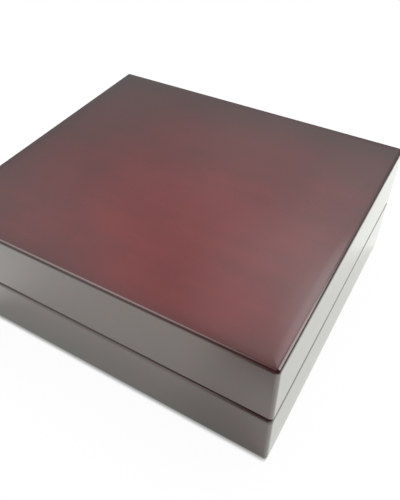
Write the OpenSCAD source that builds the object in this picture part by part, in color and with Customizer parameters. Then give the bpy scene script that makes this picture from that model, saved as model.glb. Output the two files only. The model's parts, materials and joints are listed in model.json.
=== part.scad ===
// Hinged presentation case: a lacquered box with a padded lid and a lined bed.
// Millimetres. +X is right, +Y is back, +Z is up. The origin is on the table,
// under the middle of the case, and the model is drawn with the lid shut.

/* [Case] */
// Outside width, left to right
case_w = 250; // [200:5:340]
// Outside depth, front to back
case_d = 220; // [180:5:320]
// Height of the base, from the table to its rim
base_h = 50; // [46:1:80]
// Height of the lid, from its rim to the top
lid_h = 49.6; // [40:0.2:80]
// Gap between the two rims with the lid shut
rim_gap = 0.4; // [0.3:0.1:0.8]
// How far the lid opens, in degrees, before the rear bevels meet
open_angle = 95; // [85:1:110]

/* [Boards] */
// Thickness of the side boards
wall_t = 12; // [11:0.5:16]
// Thickness of the top panel over the side boards
top_t = 8; // [6:0.5:12]
// How far the top panel's middle drops inside the side boards
key_h = 2; // [1:0.5:4]
// Thickness of the bottom panel
bottom_t = 6; // [4:0.5:9]
// How far the bottom panel reaches into the side boards
rebate_w = 6; // [3:0.5:8]
// Radius of the lid's top edge and of the upright corners
edge_r = 2.5; // [2.5:0.1:3.5]
// Radius of the rims' outer edges
rim_r = 2.4; // [1:0.1:2.4]
// Radius of the base's lower edge
foot_r = 1.4; // [0.6:0.1:2]
// Thickness of the felt sheet under the base
felt_t = 1; // [0.6:0.1:2]
// How far the felt stays inside the base's outline
felt_inset = 5; // [3:0.5:12]
// Radius of the felt sheet's corners
felt_r = 4; // [2:0.5:10]

/* [Linings] */
// Thickness of the base's lining boards
liner_t = 3; // [2.4:0.1:4]
// How far the base's lining stands above the rim, to guide the lid
lip_h = 4; // [3:0.5:6]
// Thickness of the lid's lining boards
lid_liner_t = 2; // [1.5:0.1:3]
// Thickness of the card that the lid's pad is made on
card_t = 1.5; // [1:0.1:3]
// Thickness of the lid's pad
lid_pad_t = 9; // [6:0.5:12]
// Radius of the lid pad's lower edge
lid_pad_r = 5; // [3:0.5:5.5]

/* [Bed] */
// Thickness of the board under the bed
bed_board_t = 3; // [2:0.5:4]
// Height of the bed above its board
bed_h = 30; // [24:1:32]
// Radius of the bed's upper edges
bed_edge_r = 3; // [2:0.5:4]
// Width of the well in the bed
well_w = 150; // [110:5:150]
// Depth of the well in the bed, front to back
well_d = 120; // [90:5:125]
// Radius of the well's corners
well_r = 8; // [5:0.5:14]
// Thickness of the pad on the well's floor
well_pad_t = 8; // [5:0.5:10]
// Radius of that pad's upper edge
well_pad_r = 3; // [2:0.5:4]

/* [Hinges] */
// Distance of each hinge's middle from the side of the case
hinge_setback = 53; // [42:1:70]
// Length of a hinge along its pin
hinge_w = 38; // [30:1:44]
// Depth of the pin's axis inside the back face
hinge_inset = 2.5; // [2.4:0.1:3]
// Radius of the hinge's barrel
barrel_r = 2.25; // [2:0.05:2.35]
// Radius of the hinge's pin
pin_r = 1; // [0.8:0.05:1.2]
// Thickness of a leaf
leaf_t = 1.2; // [1:0.1:1.4]
// Reach of a leaf, from the pin's axis towards the inside
leaf_reach = 7.5; // [7:0.1:8]
// Knuckles on one hinge
knuckles = 5; // [3:2:7]
// Screws in one leaf
leaf_screws = 3; // [2:1:3]
// Radius of a screw's head
screw_head_r = 1.9; // [1.7:0.05:2]
// Radius of a screw's shank
screw_r = 1; // [0.8:0.05:1.1]
// Length of a screw under the leaf's face
screw_len = 9; // [7:0.5:11]

/* [Magnets] */
// Distance of each magnet from the side of the case
magnet_setback = 41; // [30:1:70]
// Radius of a magnet
magnet_r = 4; // [3:0.25:4]
// Thickness of a magnet
magnet_t = 3; // [2:0.25:4]

/* [Hidden] */
$fn = 64;

fit_gap = 0.3;      // soft and loose pieces beside their neighbours
glue_gap = 0.1;     // rigid pieces beside their neighbours
lip_gap = 0.6;      // between the base's lip and the lid's boards
liner_gap = 1;      // between the base's lip and the lid's lining
pocket_gap = 0.05;  // round a magnet or a screw
pin_gap = 0.05;     // round a hinge pin, the running fit
knuckle_gap = 0.2;  // between two knuckles, along the pin
barrel_gap = 0.3;   // round the barrel
slot_w = 0.6;       // a screw's slot
slot_h = 0.4;
pin_head_r = 0.75 * barrel_r;
pin_head_h = 0.8;
leaf_corner_r = 1.5;
cut = 1;            // how far a cut runs past a face

case_h = base_h + rim_gap + lid_h;
lid_rim_z = base_h + rim_gap;
board_top_z = case_h - top_t;
ceiling_z = board_top_z - key_h;
floor_z = felt_t + bottom_t;
inner_w = case_w - 2 * wall_t;
inner_d = case_d - 2 * wall_t;
lip_z = base_h + lip_h;

bed_z = floor_z + bed_board_t;
bed_w = inner_w - 2 * liner_t - 2 * fit_gap;
bed_d = inner_d - 2 * liner_t - 2 * fit_gap;
lid_pad_w = inner_w - 2 * lid_liner_t - 2 * fit_gap;
lid_pad_d = inner_d - 2 * lid_liner_t - 2 * fit_gap;
pad_corner_r = lid_pad_r + 1;

hinge_x = case_w / 2 - hinge_setback;
hinge_y = case_d / 2 - hinge_inset;
hinge_z = base_h + rim_gap / 2;
knuckle_pitch = hinge_w / knuckles;
screw_y = hinge_y - (leaf_reach + barrel_r) / 2;
screw_head_h = screw_head_r - screw_r;
screw_pitch = (hinge_w - 4 * screw_head_r) / (leaf_screws - 1);

magnet_x = case_w / 2 - magnet_setback;
magnet_y = -case_d / 2 + (rim_r + wall_t) / 2;

MAHOGANY = "#4a1a1a";
VELVET = "#d9cdb4";
SATIN = "#efe6d2";
BRASS = "#c9a24b";

// ---- outlines and frames ----

// A rectangle about the origin with round corners.
module round_rect(w, d, r) {
    union() {
        square([w - 2 * r, d], center = true);
        square([w, d - 2 * r], center = true);
        for (x = [-1, 1], y = [-1, 1])
            translate([x * (w / 2 - r), y * (d / 2 - r)]) circle(r);
    }
}

// What a radius takes off the corner of a section. The corner is at the
// origin and the section lies towards +x and +y.
module corner_waste(r) {
    difference() {
        translate([-cut, -cut]) square(r + cut);
        translate([r, r]) circle(r);
    }
}

// One side of a mitred frame, w by d outside and t thick. The child is the
// section: x runs inwards from the outer face and y runs up. The section goes
// round the upright corners, which have radius r, as far as the mitres.
module frame_side(side, w, d, t, r, z0, z1) {
    turn = side == "front" ? 0 : side == "right" ? 90 : side == "back" ? 180 : 270;
    long = side == "front" || side == "back" ? w : d;
    face = (side == "front" || side == "back" ? d : w) / 2;
    rotate([0, 0, turn]) intersection() {
        translate([0, 0, z0]) linear_extrude(z1 - z0) polygon([
            [-long / 2, -face], [long / 2, -face],
            [long / 2 - t, -face + t], [-long / 2 + t, -face + t]
        ]);
        union() {
            translate([-long / 2 + r, -face, 0]) rotate([90, 0, 90])
                linear_extrude(long - 2 * r) children();
            for (end = [-1, 1]) translate([end * (long / 2 - r), r - face, 0])
                rotate_extrude() intersection() {
                    translate([r, 0]) mirror([1, 0]) children();
                    square([r, z1]);
                }
        }
    }
}

// Repeats the child turned over about the plane through the hinge pins, so
// that one drawing serves the base and the lid.
module turned_over() {
    translate([0, 0, hinge_z]) mirror([0, 0, 1]) translate([0, 0, -hinge_z]) children();
}

// A slab with round corners, w by d in plan. The child is its section,
// drawn $across wide about x = 0.
module round_slab(w, d, corner) {
    union() {
        translate([-w / 2 + corner, 0, 0]) rotate([90, 0, 90])
            linear_extrude(w - 2 * corner) let($across = d) children();
        translate([0, d / 2 - corner, 0]) rotate([90, 0, 0])
            linear_extrude(d - 2 * corner) let($across = w) children();
        for (x = [-1, 1], y = [-1, 1])
            translate([x * (w / 2 - corner), y * (d / 2 - corner), 0])
                rotate_extrude() intersection() {
                    let($across = 2 * corner) children();
                    translate([0, -case_h]) square(2 * case_h);
                }
    }
}

// A section that is flat below and round at both upper corners.
module crowned(w, h, edge) {
    difference() {
        translate([-w / 2, 0]) square([w, h]);
        translate([-w / 2, h]) mirror([0, 1]) corner_waste(edge);
        translate([w / 2, h]) mirror([1, 0]) mirror([0, 1]) corner_waste(edge);
    }
}

// A section that is straight below and flares at its upper end, for a cut.
module flared(w, h, edge) {
    difference() {
        translate([-w / 2 - edge, h - edge]) square([w + 2 * edge, edge + cut]);
        for (x = [-1, 1]) translate([x * (w / 2 + edge), h - edge]) circle(edge);
    }
    translate([-w / 2, -cut]) square([w, h + cut - edge / 2]);
}

// ---- what is cut from the boards ----

// The V along the back. Its faces meet at open_angle and stop the lid.
module stop_groove() {
    run = hinge_inset + cut;
    drop = run * tan(open_angle / 2);
    translate([-case_w / 2 - cut, 0, 0]) rotate([90, 0, 90]) linear_extrude(case_w + 2 * cut)
        polygon([
            [hinge_y, base_h], [hinge_y + run, base_h - drop],
            [hinge_y + run, lid_rim_z + drop], [hinge_y, lid_rim_z]
        ]);
}

module at_hinges() {
    for (x = [-hinge_x, hinge_x]) translate([x, 0, 0]) children();
}

module at_screws() {
    for (i = [0 : leaf_screws - 1])
        translate([(i - (leaf_screws - 1) / 2) * screw_pitch, screw_y, base_h]) children();
}

// The seat of both hinges in the base's back board.
module hinge_seats() {
    seat_w = hinge_w + 2 * glue_gap;
    relief_w = hinge_w + 2 * (pin_head_h + glue_gap);
    at_hinges() {
        translate([-seat_w / 2, hinge_y - leaf_reach - glue_gap, base_h - leaf_t])
            cube([seat_w, leaf_reach + glue_gap, leaf_t + cut]);
        translate([-relief_w / 2, hinge_y, hinge_z]) rotate([0, 90, 0])
            cylinder(h = relief_w, r = barrel_r + barrel_gap);
        at_screws() translate([0, 0, -screw_len - pocket_gap])
            cylinder(h = screw_len, r = screw_r + pocket_gap);
    }
}

module magnet_pockets() {
    for (x = [-magnet_x, magnet_x])
        translate([x, magnet_y, base_h - magnet_t])
            cylinder(h = magnet_t + cut, r = magnet_r + pocket_gap);
}

// ---- boards ----

// The base board's section: a round rim, a round foot and a rebate inside.
module base_section() {
    difference() {
        translate([0, felt_t]) square([wall_t, base_h - felt_t]);
        translate([wall_t - rebate_w, felt_t - cut]) square([rebate_w + cut, bottom_t + cut]);
        translate([0, felt_t]) corner_waste(foot_r);
        translate([0, base_h]) mirror([0, 1]) corner_waste(rim_r);
    }
}

// The lid board's section: a round rim, and square where the top panel sits.
module lid_section() {
    difference() {
        translate([0, lid_rim_z]) square([wall_t, board_top_z - lid_rim_z]);
        translate([0, lid_rim_z]) corner_waste(rim_r);
    }
}

module base_board(side) {
    color(MAHOGANY) difference() {
        frame_side(side, case_w, case_d, wall_t, edge_r, felt_t, base_h) base_section();
        if (side != "front") stop_groove();
        if (side == "back") hinge_seats();
        if (side == "front") magnet_pockets();
    }
}

module lid_board(side) {
    color(MAHOGANY) difference() {
        frame_side(side, case_w, case_d, wall_t, edge_r, lid_rim_z, board_top_z) lid_section();
        if (side != "front") stop_groove();
        if (side == "back") turned_over() hinge_seats();
        if (side == "front") turned_over() magnet_pockets();
    }
}

module lid_top_panel() {
    color(MAHOGANY) union() {
        translate([0, 0, board_top_z]) round_slab(case_w, case_d, edge_r)
            crowned($across, top_t, edge_r);
        translate([0, 0, ceiling_z]) linear_extrude(key_h + cut)
            square([inner_w - 2 * glue_gap, inner_d - 2 * glue_gap], center = true);
    }
}

module base_bottom_panel() {
    reach = 2 * (rebate_w - glue_gap);
    color(MAHOGANY) translate([0, 0, felt_t]) linear_extrude(bottom_t)
        square([inner_w + reach, inner_d + reach], center = true);
}

module felt_sheet() {
    color("#23201f") linear_extrude(felt_t)
        round_rect(case_w - 2 * felt_inset, case_d - 2 * felt_inset, felt_r);
}

// ---- linings ----

// The base lining's section. Above the rim it steps inwards to clear the lid.
module base_liner_section() {
    difference() {
        translate([0, floor_z]) square([liner_t, lip_z - floor_z]);
        translate([-cut, base_h]) square([lip_gap + cut, lip_h + cut]);
        translate([lip_gap, lip_z]) mirror([0, 1]) corner_waste((liner_t - lip_gap) / 3);
    }
}

module base_liner(side) {
    color(VELVET) frame_side(side, inner_w, inner_d, liner_t, pocket_gap, floor_z, lip_z)
        base_liner_section();
}

module lid_liner(side) {
    z0 = lip_z + liner_gap;
    color(SATIN) frame_side(side, inner_w, inner_d, lid_liner_t, pocket_gap, z0, ceiling_z)
        translate([0, z0]) square([lid_liner_t, ceiling_z - z0]);
}

module lid_pad_card() {
    color(SATIN) translate([0, 0, ceiling_z - card_t]) linear_extrude(card_t)
        round_rect(lid_pad_w, lid_pad_d, card_t);
}

module lid_pad() {
    color(SATIN) translate([0, 0, ceiling_z - card_t]) mirror([0, 0, 1])
        round_slab(lid_pad_w, lid_pad_d, pad_corner_r) crowned($across, lid_pad_t, lid_pad_r);
}

// ---- bed ----

module bed_board() {
    color("#8a6f4d") translate([0, 0, floor_z]) linear_extrude(bed_board_t)
        square([bed_w, bed_d], center = true);
}

module velvet_bed() {
    color(VELVET) translate([0, 0, bed_z]) difference() {
        round_slab(bed_w, bed_d, bed_edge_r + 1) crowned($across, bed_h, bed_edge_r);
        round_slab(well_w, well_d, well_r) flared($across, bed_h, bed_edge_r);
    }
}

module well_pad() {
    color(VELVET) translate([0, 0, bed_z])
        round_slab(well_w - 2 * fit_gap, well_d - 2 * fit_gap, well_r - fit_gap)
            crowned($across, well_pad_t, well_pad_r);
}

// ---- hinges ----

// Cylinders along the pin over every second knuckle, starting at one.
module knuckle_rows(first, r, spare) {
    for (k = [first : 2 : knuckles - 1])
        translate([-hinge_w / 2 + k * knuckle_pitch + knuckle_gap / 2 - spare, 0, 0])
            rotate([0, 90, 0]) cylinder(h = knuckle_pitch - knuckle_gap + 2 * spare, r = r);
}

// The base's leaf with its knuckles. The axis runs through the origin.
module leaf(first) {
    difference() {
        union() {
            translate([0, 0, -rim_gap / 2 - leaf_t]) linear_extrude(leaf_t) difference() {
                translate([-hinge_w / 2, -leaf_reach]) square([hinge_w, leaf_reach]);
                for (x = [-1, 1]) translate([x * hinge_w / 2, -leaf_reach])
                    mirror([x > 0 ? 1 : 0, 0]) corner_waste(leaf_corner_r);
            }
            knuckle_rows(first, barrel_r, 0);
        }
        knuckle_rows(1 - first, barrel_r + barrel_gap, knuckle_gap);
        translate([-hinge_w / 2 - cut, 0, 0]) rotate([0, 90, 0])
            cylinder(h = hinge_w + 2 * cut, r = pin_r + pin_gap);
        translate([0, -hinge_y, -hinge_z]) at_screws() {
            translate([0, 0, -leaf_t - cut]) cylinder(h = leaf_t + 2 * cut, r = screw_r + glue_gap);
            translate([0, 0, -screw_head_h])
                cylinder(h = screw_head_h, r1 = screw_r + glue_gap, r2 = screw_head_r + glue_gap);
        }
    }
}

module base_leaf(x) {
    color(BRASS) translate([x, hinge_y, hinge_z]) leaf(0);
}

module lid_leaf(x) {
    color(BRASS) translate([x, hinge_y, hinge_z]) mirror([0, 0, 1]) leaf(1);
}

module hinge_pin(x) {
    color(BRASS) translate([x, hinge_y, hinge_z]) rotate([0, 90, 0]) union() {
        cylinder(h = hinge_w, r = pin_r, center = true);
        for (end = [-1, 1]) translate([0, 0, end * (hinge_w + pin_head_h) / 2])
            cylinder(h = pin_head_h, r = pin_head_r, center = true);
    }
}

// A slotted countersunk screw. Its head's face is at the origin.
module screw() {
    tip = 2 * screw_r;
    difference() {
        union() {
            translate([0, 0, -screw_head_h]) cylinder(h = screw_head_h, r1 = screw_r, r2 = screw_head_r);
            translate([0, 0, tip - screw_len]) cylinder(h = screw_len - tip, r = screw_r);
            translate([0, 0, -screw_len]) cylinder(h = tip, r1 = screw_r / 4, r2 = screw_r);
        }
        translate([-screw_head_r - cut, -slot_w / 2, -slot_h])
            cube([2 * (screw_head_r + cut), slot_w, slot_h + cut]);
    }
}

module base_hinge_screws() {
    color(BRASS) at_hinges() at_screws() screw();
}

module lid_hinge_screws() {
    color(BRASS) turned_over() at_hinges() at_screws() screw();
}

// ---- magnets ----

module base_magnets() {
    color("silver") for (x = [-magnet_x, magnet_x])
        translate([x, magnet_y, base_h - magnet_t]) cylinder(h = magnet_t, r = magnet_r);
}

module lid_magnets() {
    color("silver") for (x = [-magnet_x, magnet_x])
        translate([x, magnet_y, lid_rim_z]) cylinder(h = magnet_t, r = magnet_r);
}

base_board("front");  // base_front_board
base_board("back");  // base_back_board
base_board("left");  // base_left_board
base_board("right");  // base_right_board
base_bottom_panel();
felt_sheet();
base_liner("front");  // base_front_liner
base_liner("back");  // base_back_liner
base_liner("left");  // base_left_liner
base_liner("right");  // base_right_liner
bed_board();
velvet_bed();
well_pad();
base_leaf(-hinge_x);  // left_hinge_base_leaf
base_leaf(hinge_x);  // right_hinge_base_leaf
hinge_pin(-hinge_x);  // left_hinge_pin
hinge_pin(hinge_x);  // right_hinge_pin
base_hinge_screws();
base_magnets();
lid_top_panel();
lid_board("front");  // lid_front_board
lid_board("back");  // lid_back_board
lid_board("left");  // lid_left_board
lid_board("right");  // lid_right_board
lid_liner("front");  // lid_front_liner
lid_liner("back");  // lid_back_liner
lid_liner("left");  // lid_left_liner
lid_liner("right");  // lid_right_liner
lid_pad_card();
lid_pad();
lid_leaf(-hinge_x);  // left_hinge_lid_leaf
lid_leaf(hinge_x);  // right_hinge_lid_leaf
lid_hinge_screws();
lid_magnets();
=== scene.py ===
# Looks for a hinged presentation case: gloss-lacquered mahogany outside,
# ivory satin and velvet inside, brass butt hinges at the back.
import json
import math
import random

import bmesh
import bpy
import numpy as np
from mathutils import Matrix, Vector, noise


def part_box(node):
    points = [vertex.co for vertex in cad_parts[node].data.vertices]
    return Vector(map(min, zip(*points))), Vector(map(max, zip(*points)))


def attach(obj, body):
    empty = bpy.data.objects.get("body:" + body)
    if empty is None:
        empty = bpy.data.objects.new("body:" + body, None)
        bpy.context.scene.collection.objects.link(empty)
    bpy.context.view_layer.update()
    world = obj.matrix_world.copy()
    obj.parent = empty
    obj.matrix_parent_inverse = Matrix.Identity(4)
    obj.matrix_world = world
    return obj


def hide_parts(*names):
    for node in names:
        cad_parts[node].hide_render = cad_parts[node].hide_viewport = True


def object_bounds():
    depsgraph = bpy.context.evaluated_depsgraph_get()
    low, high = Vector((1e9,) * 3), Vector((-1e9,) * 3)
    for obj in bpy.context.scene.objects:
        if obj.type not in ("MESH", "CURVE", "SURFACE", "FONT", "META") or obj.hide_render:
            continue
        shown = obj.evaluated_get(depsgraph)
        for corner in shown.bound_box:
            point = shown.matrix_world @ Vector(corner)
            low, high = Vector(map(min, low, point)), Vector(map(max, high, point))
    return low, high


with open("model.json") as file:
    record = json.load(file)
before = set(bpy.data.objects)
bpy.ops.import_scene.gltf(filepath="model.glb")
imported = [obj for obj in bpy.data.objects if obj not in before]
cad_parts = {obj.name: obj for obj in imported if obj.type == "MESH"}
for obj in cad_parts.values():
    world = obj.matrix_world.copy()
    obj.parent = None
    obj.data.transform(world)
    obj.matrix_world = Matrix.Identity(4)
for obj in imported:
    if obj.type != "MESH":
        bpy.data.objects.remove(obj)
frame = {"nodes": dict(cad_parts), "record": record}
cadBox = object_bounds()

mm = 0.001
nodes = frame["nodes"]


def linearColour(hexText):
    # sRGB hex to the linear values that Blender's sockets take
    channels = [int(hexText[i:i + 2], 16) / 255 for i in (0, 2, 4)]
    linear = [c / 12.92 if c <= 0.04045 else ((c + 0.055) / 1.055) ** 2.4 for c in channels]
    return (*linear, 1)


def shaded(colour, level):
    return (*(min(1, c * level) for c in colour[:3]), 1)


def addNode(owner, kind, values=None, stops=()):
    # owner: a material, the world or a node tree. values: an attribute or input to its
    # value, to an output socket, to a node (its first output) or to a list of nodes.
    # stops: a colour ramp's places and colours.
    tree = getattr(owner, "node_tree", owner)
    node = tree.nodes.new(kind)
    for name, given in (values or {}).items():
        if isinstance(name, str) and name not in node.inputs:
            setattr(node, name, given)
            continue
        target = node.inputs[name]
        for value in given if isinstance(given, list) else [given]:
            if isinstance(value, bpy.types.Node):
                tree.links.new(value.outputs[0], target)
            elif isinstance(value, bpy.types.NodeSocket):
                tree.links.new(value, target)
            else:
                target.default_value = value
    for i, (position, colour) in enumerate(stops):
        element = node.color_ramp.elements[i] if i < 2 else node.color_ramp.elements.new(position)
        element.position = position
        element.color = colour
    return node


def arrangeNodes(tree):
    # columns from the output back, each node to the left of all that it feeds
    column = {node.name: 0 for node in tree.nodes}
    for _ in tree.nodes:
        for link in tree.links:
            giver, taker = link.from_node.name, link.to_node.name
            column[giver] = max(column[giver], column[taker] + 1)
    filled = {}
    for name, steps in column.items():
        filled[steps] = filled.get(steps, 0) + 1
        tree.nodes[name].location = (-260 * steps, -320 * filled[steps])


def newMaterial(name):
    material = bpy.data.materials.new(name)
    material.use_nodes = True
    material.node_tree.nodes.clear()
    return material


def finishMaterial(material, shader):
    addNode(material, "ShaderNodeOutputMaterial", {"Surface": shader})
    arrangeNodes(material.node_tree)
    return material


def setMaterial(obj, material):
    obj.data.materials.clear()
    obj.data.materials.append(material)


def meshObject(name, mesh):
    obj = bpy.data.objects.new(name, mesh)
    bpy.context.scene.collection.objects.link(obj)
    return obj


def applyModifiers(obj):
    # the evaluated shape becomes the mesh, and the modifiers go
    bpy.context.view_layer.update()
    depsgraph = bpy.context.evaluated_depsgraph_get()
    mesh = bpy.data.meshes.new_from_object(obj.evaluated_get(depsgraph))
    obj.modifiers.clear()
    obj.data = mesh
    return obj


def bodyOf(nodeName):
    for body, members in frame["record"]["behaviour"]["bodies"].items():
        if nodeName in members:
            return body


def seatPiece(piece, nodeNames, material=None):
    # the piece stands for these nodes and moves with their body
    if material:
        setMaterial(piece, material)
    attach(piece, bodyOf(nodeNames[0]))
    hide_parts(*nodeNames)
    return piece


def objectPattern(material, size=(1, 1, 1), turn=(0, 0, 0)):
    # Object coordinates; size: the metres that one repeat takes along each axis
    coords = addNode(material, "ShaderNodeTexCoord")
    return addNode(material, "ShaderNodeMapping", {
        "Scale": tuple(1 / length for length in size), "Rotation": turn,
        "Vector": coords.outputs["Object"]})


mahoganyLook = {
    "lightRed": "651c1e",        # where the ribbon of the veneer turns to the light
    "midRed": "611a1c",
    "darkRed": "5c181a",
    "sideShade": 0.45,           # the boards are a darker copy of the top's colour: partly a darker stain, partly painted shade for the light the sides miss
    "ribbonLength": 220 * mm,    # ribbon figure, along the grain
    "ribbonWidth": 17 * mm,
    "poreLength": 5 * mm,        # real pores are 0.15 mm wide, drawn at 0.4 mm so they show
    "poreWidth": 0.4 * mm,
    "poreShade": 0.45,
    "peelSize": 3.2 * mm,        # orange peel of the sprayed lacquer
    "peelDepth": 0.004 * mm,
    "waveSize": 45 * mm,         # slow waves that rubbing down leaves
    "waveDepth": 0.02 * mm,
    "cloudSize": 48 * mm,        # where the stain took a little more or less
    "cloudDepth": 0.14,
    # painted shade: the top's colour darkens towards its edges, most at the back and left, where
    # less light reaches: axis, edge, where it ends, colour left at the edge
    "paintedEdgeShade": (("Y", -110 * mm, -95 * mm, 0.65), ("Y", 110 * mm, 72 * mm, 0.6),
                  ("X", -125 * mm, -108 * mm, 0.6), ("X", 125 * mm, 112 * mm, 0.85)),
}


def makeMahogany(name, alongX, shade, edgeShade=()):
    # Mahogany veneer under rubbed polyester lacquer: deep red with faint ribbon
    # stripes, and a wet, almost mirror-flat coat over it.
    look = mahoganyLook
    m = newMaterial(name)
    turn = (0, 0, 0) if alongX else (0, 0, math.pi / 2)
    ribbonAt, poreAt = (
        objectPattern(m, (look[k + "Length"], look[k + "Width"], look[k + "Width"]), turn)
        for k in ("ribbon", "pore"))
    plainAt = objectPattern(m)
    ribbon = addNode(m, "ShaderNodeTexNoise", {
        "Scale": 1, "Detail": 4, "Roughness": 0.55, "Distortion": 0.6, "Vector": ribbonAt})
    pores = addNode(m, "ShaderNodeTexNoise", {
        "Scale": 1, "Detail": 2, "Roughness": 0.5, "Vector": poreAt})
    # shade: 1 on the top; on the boards a darker copy, partly stain and partly painted shade
    reds = [shaded(linearColour(look[k]), shade) for k in ("darkRed", "midRed", "lightRed")]
    veneer = addNode(m, "ShaderNodeValToRGB", {"Fac": ribbon}, [
        (0.3, reds[0]), (0.72, reds[2]), (0.5, reds[1])])
    poreMask = addNode(m, "ShaderNodeMapRange", {
        "From Min": 0.66, "From Max": 0.76, "To Min": 0.0, "To Max": 0.3, "Value": pores})
    porous = addNode(m, "ShaderNodeMix", {
        "data_type": "RGBA", "Factor": poreMask, 6: veneer,
        7: shaded(reds[0], look["poreShade"])}).outputs[2]
    clouds = addNode(m, "ShaderNodeTexNoise", {
        "Scale": 1 / look["cloudSize"], "Detail": 3, "Distortion": 0.4, "Vector": plainAt})
    depth = addNode(m, "ShaderNodeMapRange", {
        "From Min": 0.3, "From Max": 0.7, "To Min": 1 - look["cloudDepth"],
        "To Max": 1 + look["cloudDepth"], "Value": clouds})
    axes = addNode(m, "ShaderNodeSeparateXYZ", {"Vector": plainAt}).outputs
    # painted shade: the veneer's colour is darkened in bands along the top's edges
    for axis, edge, inner, level in edgeShade:
        band = addNode(m, "ShaderNodeMapRange", {
            "interpolation_type": "SMOOTHSTEP", "From Min": edge, "From Max": inner,
            "To Min": level, "Value": axes[axis]})
        depth = addNode(m, "ShaderNodeMath", {"operation": "MULTIPLY", 0: depth, 1: band})
    colour = addNode(m, "ShaderNodeVectorMath", {
        "operation": "SCALE", "Vector": porous, "Scale": depth})

    peel = addNode(m, "ShaderNodeTexNoise", {
        "Scale": 1 / look["peelSize"], "Detail": 1, "Vector": plainAt})
    wave = addNode(m, "ShaderNodeTexNoise", {
        "Scale": 1 / look["waveSize"], "Detail": 1, "Vector": plainAt})
    waveBump = addNode(m, "ShaderNodeBump", {
        "Strength": 1, "Distance": look["waveDepth"], "Height": wave})
    coatBump = addNode(m, "ShaderNodeBump", {
        "Strength": 1, "Distance": look["peelDepth"], "Height": peel, "Normal": waveBump})
    shader = addNode(m, "ShaderNodeBsdfPrincipled", {
        "Roughness": 0.22, "IOR": 1.45, "Coat Weight": 1.0, "Coat Roughness": 0.035,
        "Coat IOR": 1.6, "Base Color": colour, "Normal": waveBump, "Coat Normal": coatBump})
    return finishMaterial(m, shader)


def makeFibre(name, lying, colours, relief, surface):
    # Pressed fibres that lie every way: how they lie, ramp stops, bump and surface settings
    m = newMaterial(name)
    fibres = addNode(m, "ShaderNodeTexNoise", lying | {"Vector": objectPattern(m)})
    colour = addNode(m, "ShaderNodeValToRGB", {"Fac": fibres}, colours)
    bump = addNode(m, "ShaderNodeBump", relief | {"Height": fibres})
    shader = addNode(m, "ShaderNodeBsdfPrincipled",
                     surface | {"Base Color": colour, "Normal": bump})
    return finishMaterial(m, shader)


def makeBareBoard(name, colourHex, contrast):
    # Pressed fibre, as board or card: flat colour with fine pale and dark fibres, no shine
    base = linearColour(colourHex)
    stops = (0.3, shaded(base, 1 - contrast)), (0.7, shaded(base, 1 + contrast)), (0.5, base)
    return makeFibre(name, {"Scale": 1 / (0.8 * mm), "Detail": 4}, stops,
                     {"Strength": 2 * contrast, "Distance": 0.05 * mm}, {"Roughness": 0.85})


velvetLook = {
    "pile": "d3c6a7",          # where the pile lies one way
    "brushed": "cabc99",       # and where it lies the other
    "strokeLength": 70 * mm,   # strokes left by a hand
    "strokeWidth": 24 * mm,
    "tuftSize": 0.6 * mm,      # single tufts are 0.1 mm, drawn coarser so they show
    "tuftDepth": 0.12 * mm,
}


def makeVelvet(name):
    # Short-pile velvet glued over board: matt, with a pale rim where it turns away
    look = velvetLook
    m = newMaterial(name)
    at = objectPattern(m)
    strokeAt = objectPattern(m, (look["strokeLength"], look["strokeWidth"], look["strokeWidth"]),
                             (0, 0, math.radians(25)))
    nap = addNode(m, "ShaderNodeTexNoise", {
        "Scale": 1, "Detail": 3, "Distortion": 0.3, "Vector": strokeAt})
    tufts = addNode(m, "ShaderNodeTexNoise", {
        "Scale": 1 / look["tuftSize"], "Detail": 3, "Vector": at})
    napColour = addNode(m, "ShaderNodeValToRGB", {"Fac": nap}, [
        (0.35, linearColour(look["brushed"])), (0.65, linearColour(look["pile"]))])
    tuftShade = addNode(m, "ShaderNodeMapRange", {
        "From Min": 0.35, "From Max": 0.65, "To Min": 0.84, "To Max": 1.08, "Value": tufts})
    colour = addNode(m, "ShaderNodeVectorMath", {
        "operation": "SCALE", "Vector": napColour, "Scale": tuftShade})
    bump = addNode(m, "ShaderNodeBump", {
        "Strength": 0.8, "Distance": look["tuftDepth"], "Height": tufts})
    shader = addNode(m, "ShaderNodeBsdfPrincipled", {
        "Roughness": 0.95, "Specular IOR Level": 0.15, "Sheen Weight": 0.7,
        "Sheen Roughness": 0.35, "Sheen Tint": linearColour("f7efdc"), "Base Color": colour,
        "Normal": bump})
    return finishMaterial(m, shader)


satinLook = {
    "warp": "ece2cc",
    "weft": "e6dbc2",
    "threadPitch": 0.35 * mm,  # real satin has 0.08 mm threads, drawn coarser so they show
    "slubLength": 26 * mm,
    "weaveDepth": 0.012 * mm,
}


def makeSatin(name):
    # Woven satin: long floats along Y give a soft broad sheen, with fine ribs across
    look = satinLook
    m = newMaterial(name)
    threadAt = objectPattern(m, (look["threadPitch"], look["slubLength"], look["threadPitch"]))
    threads = addNode(m, "ShaderNodeTexNoise", {
        "Scale": 1, "Detail": 2, "Roughness": 0.6, "Vector": threadAt})
    colour = addNode(m, "ShaderNodeValToRGB", {"Fac": threads}, [
        (0.35, linearColour(look["weft"])), (0.6, linearColour(look["warp"]))])
    bump = addNode(m, "ShaderNodeBump", {
        "Strength": 0.5, "Distance": look["weaveDepth"], "Height": threads})
    rough = addNode(m, "ShaderNodeMapRange", {
        "From Min": 0.3, "From Max": 0.7, "To Min": 0.32, "To Max": 0.46, "Value": threads})
    shader = addNode(m, "ShaderNodeBsdfPrincipled", {
        "IOR": 1.5, "Anisotropic": 0.6, "Sheen Weight": 0.3, "Sheen Roughness": 0.4,
        "Sheen Tint": linearColour("fff6e4"), "Base Color": colour, "Roughness": rough,
        "Normal": bump})
    return finishMaterial(m, shader)


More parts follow.
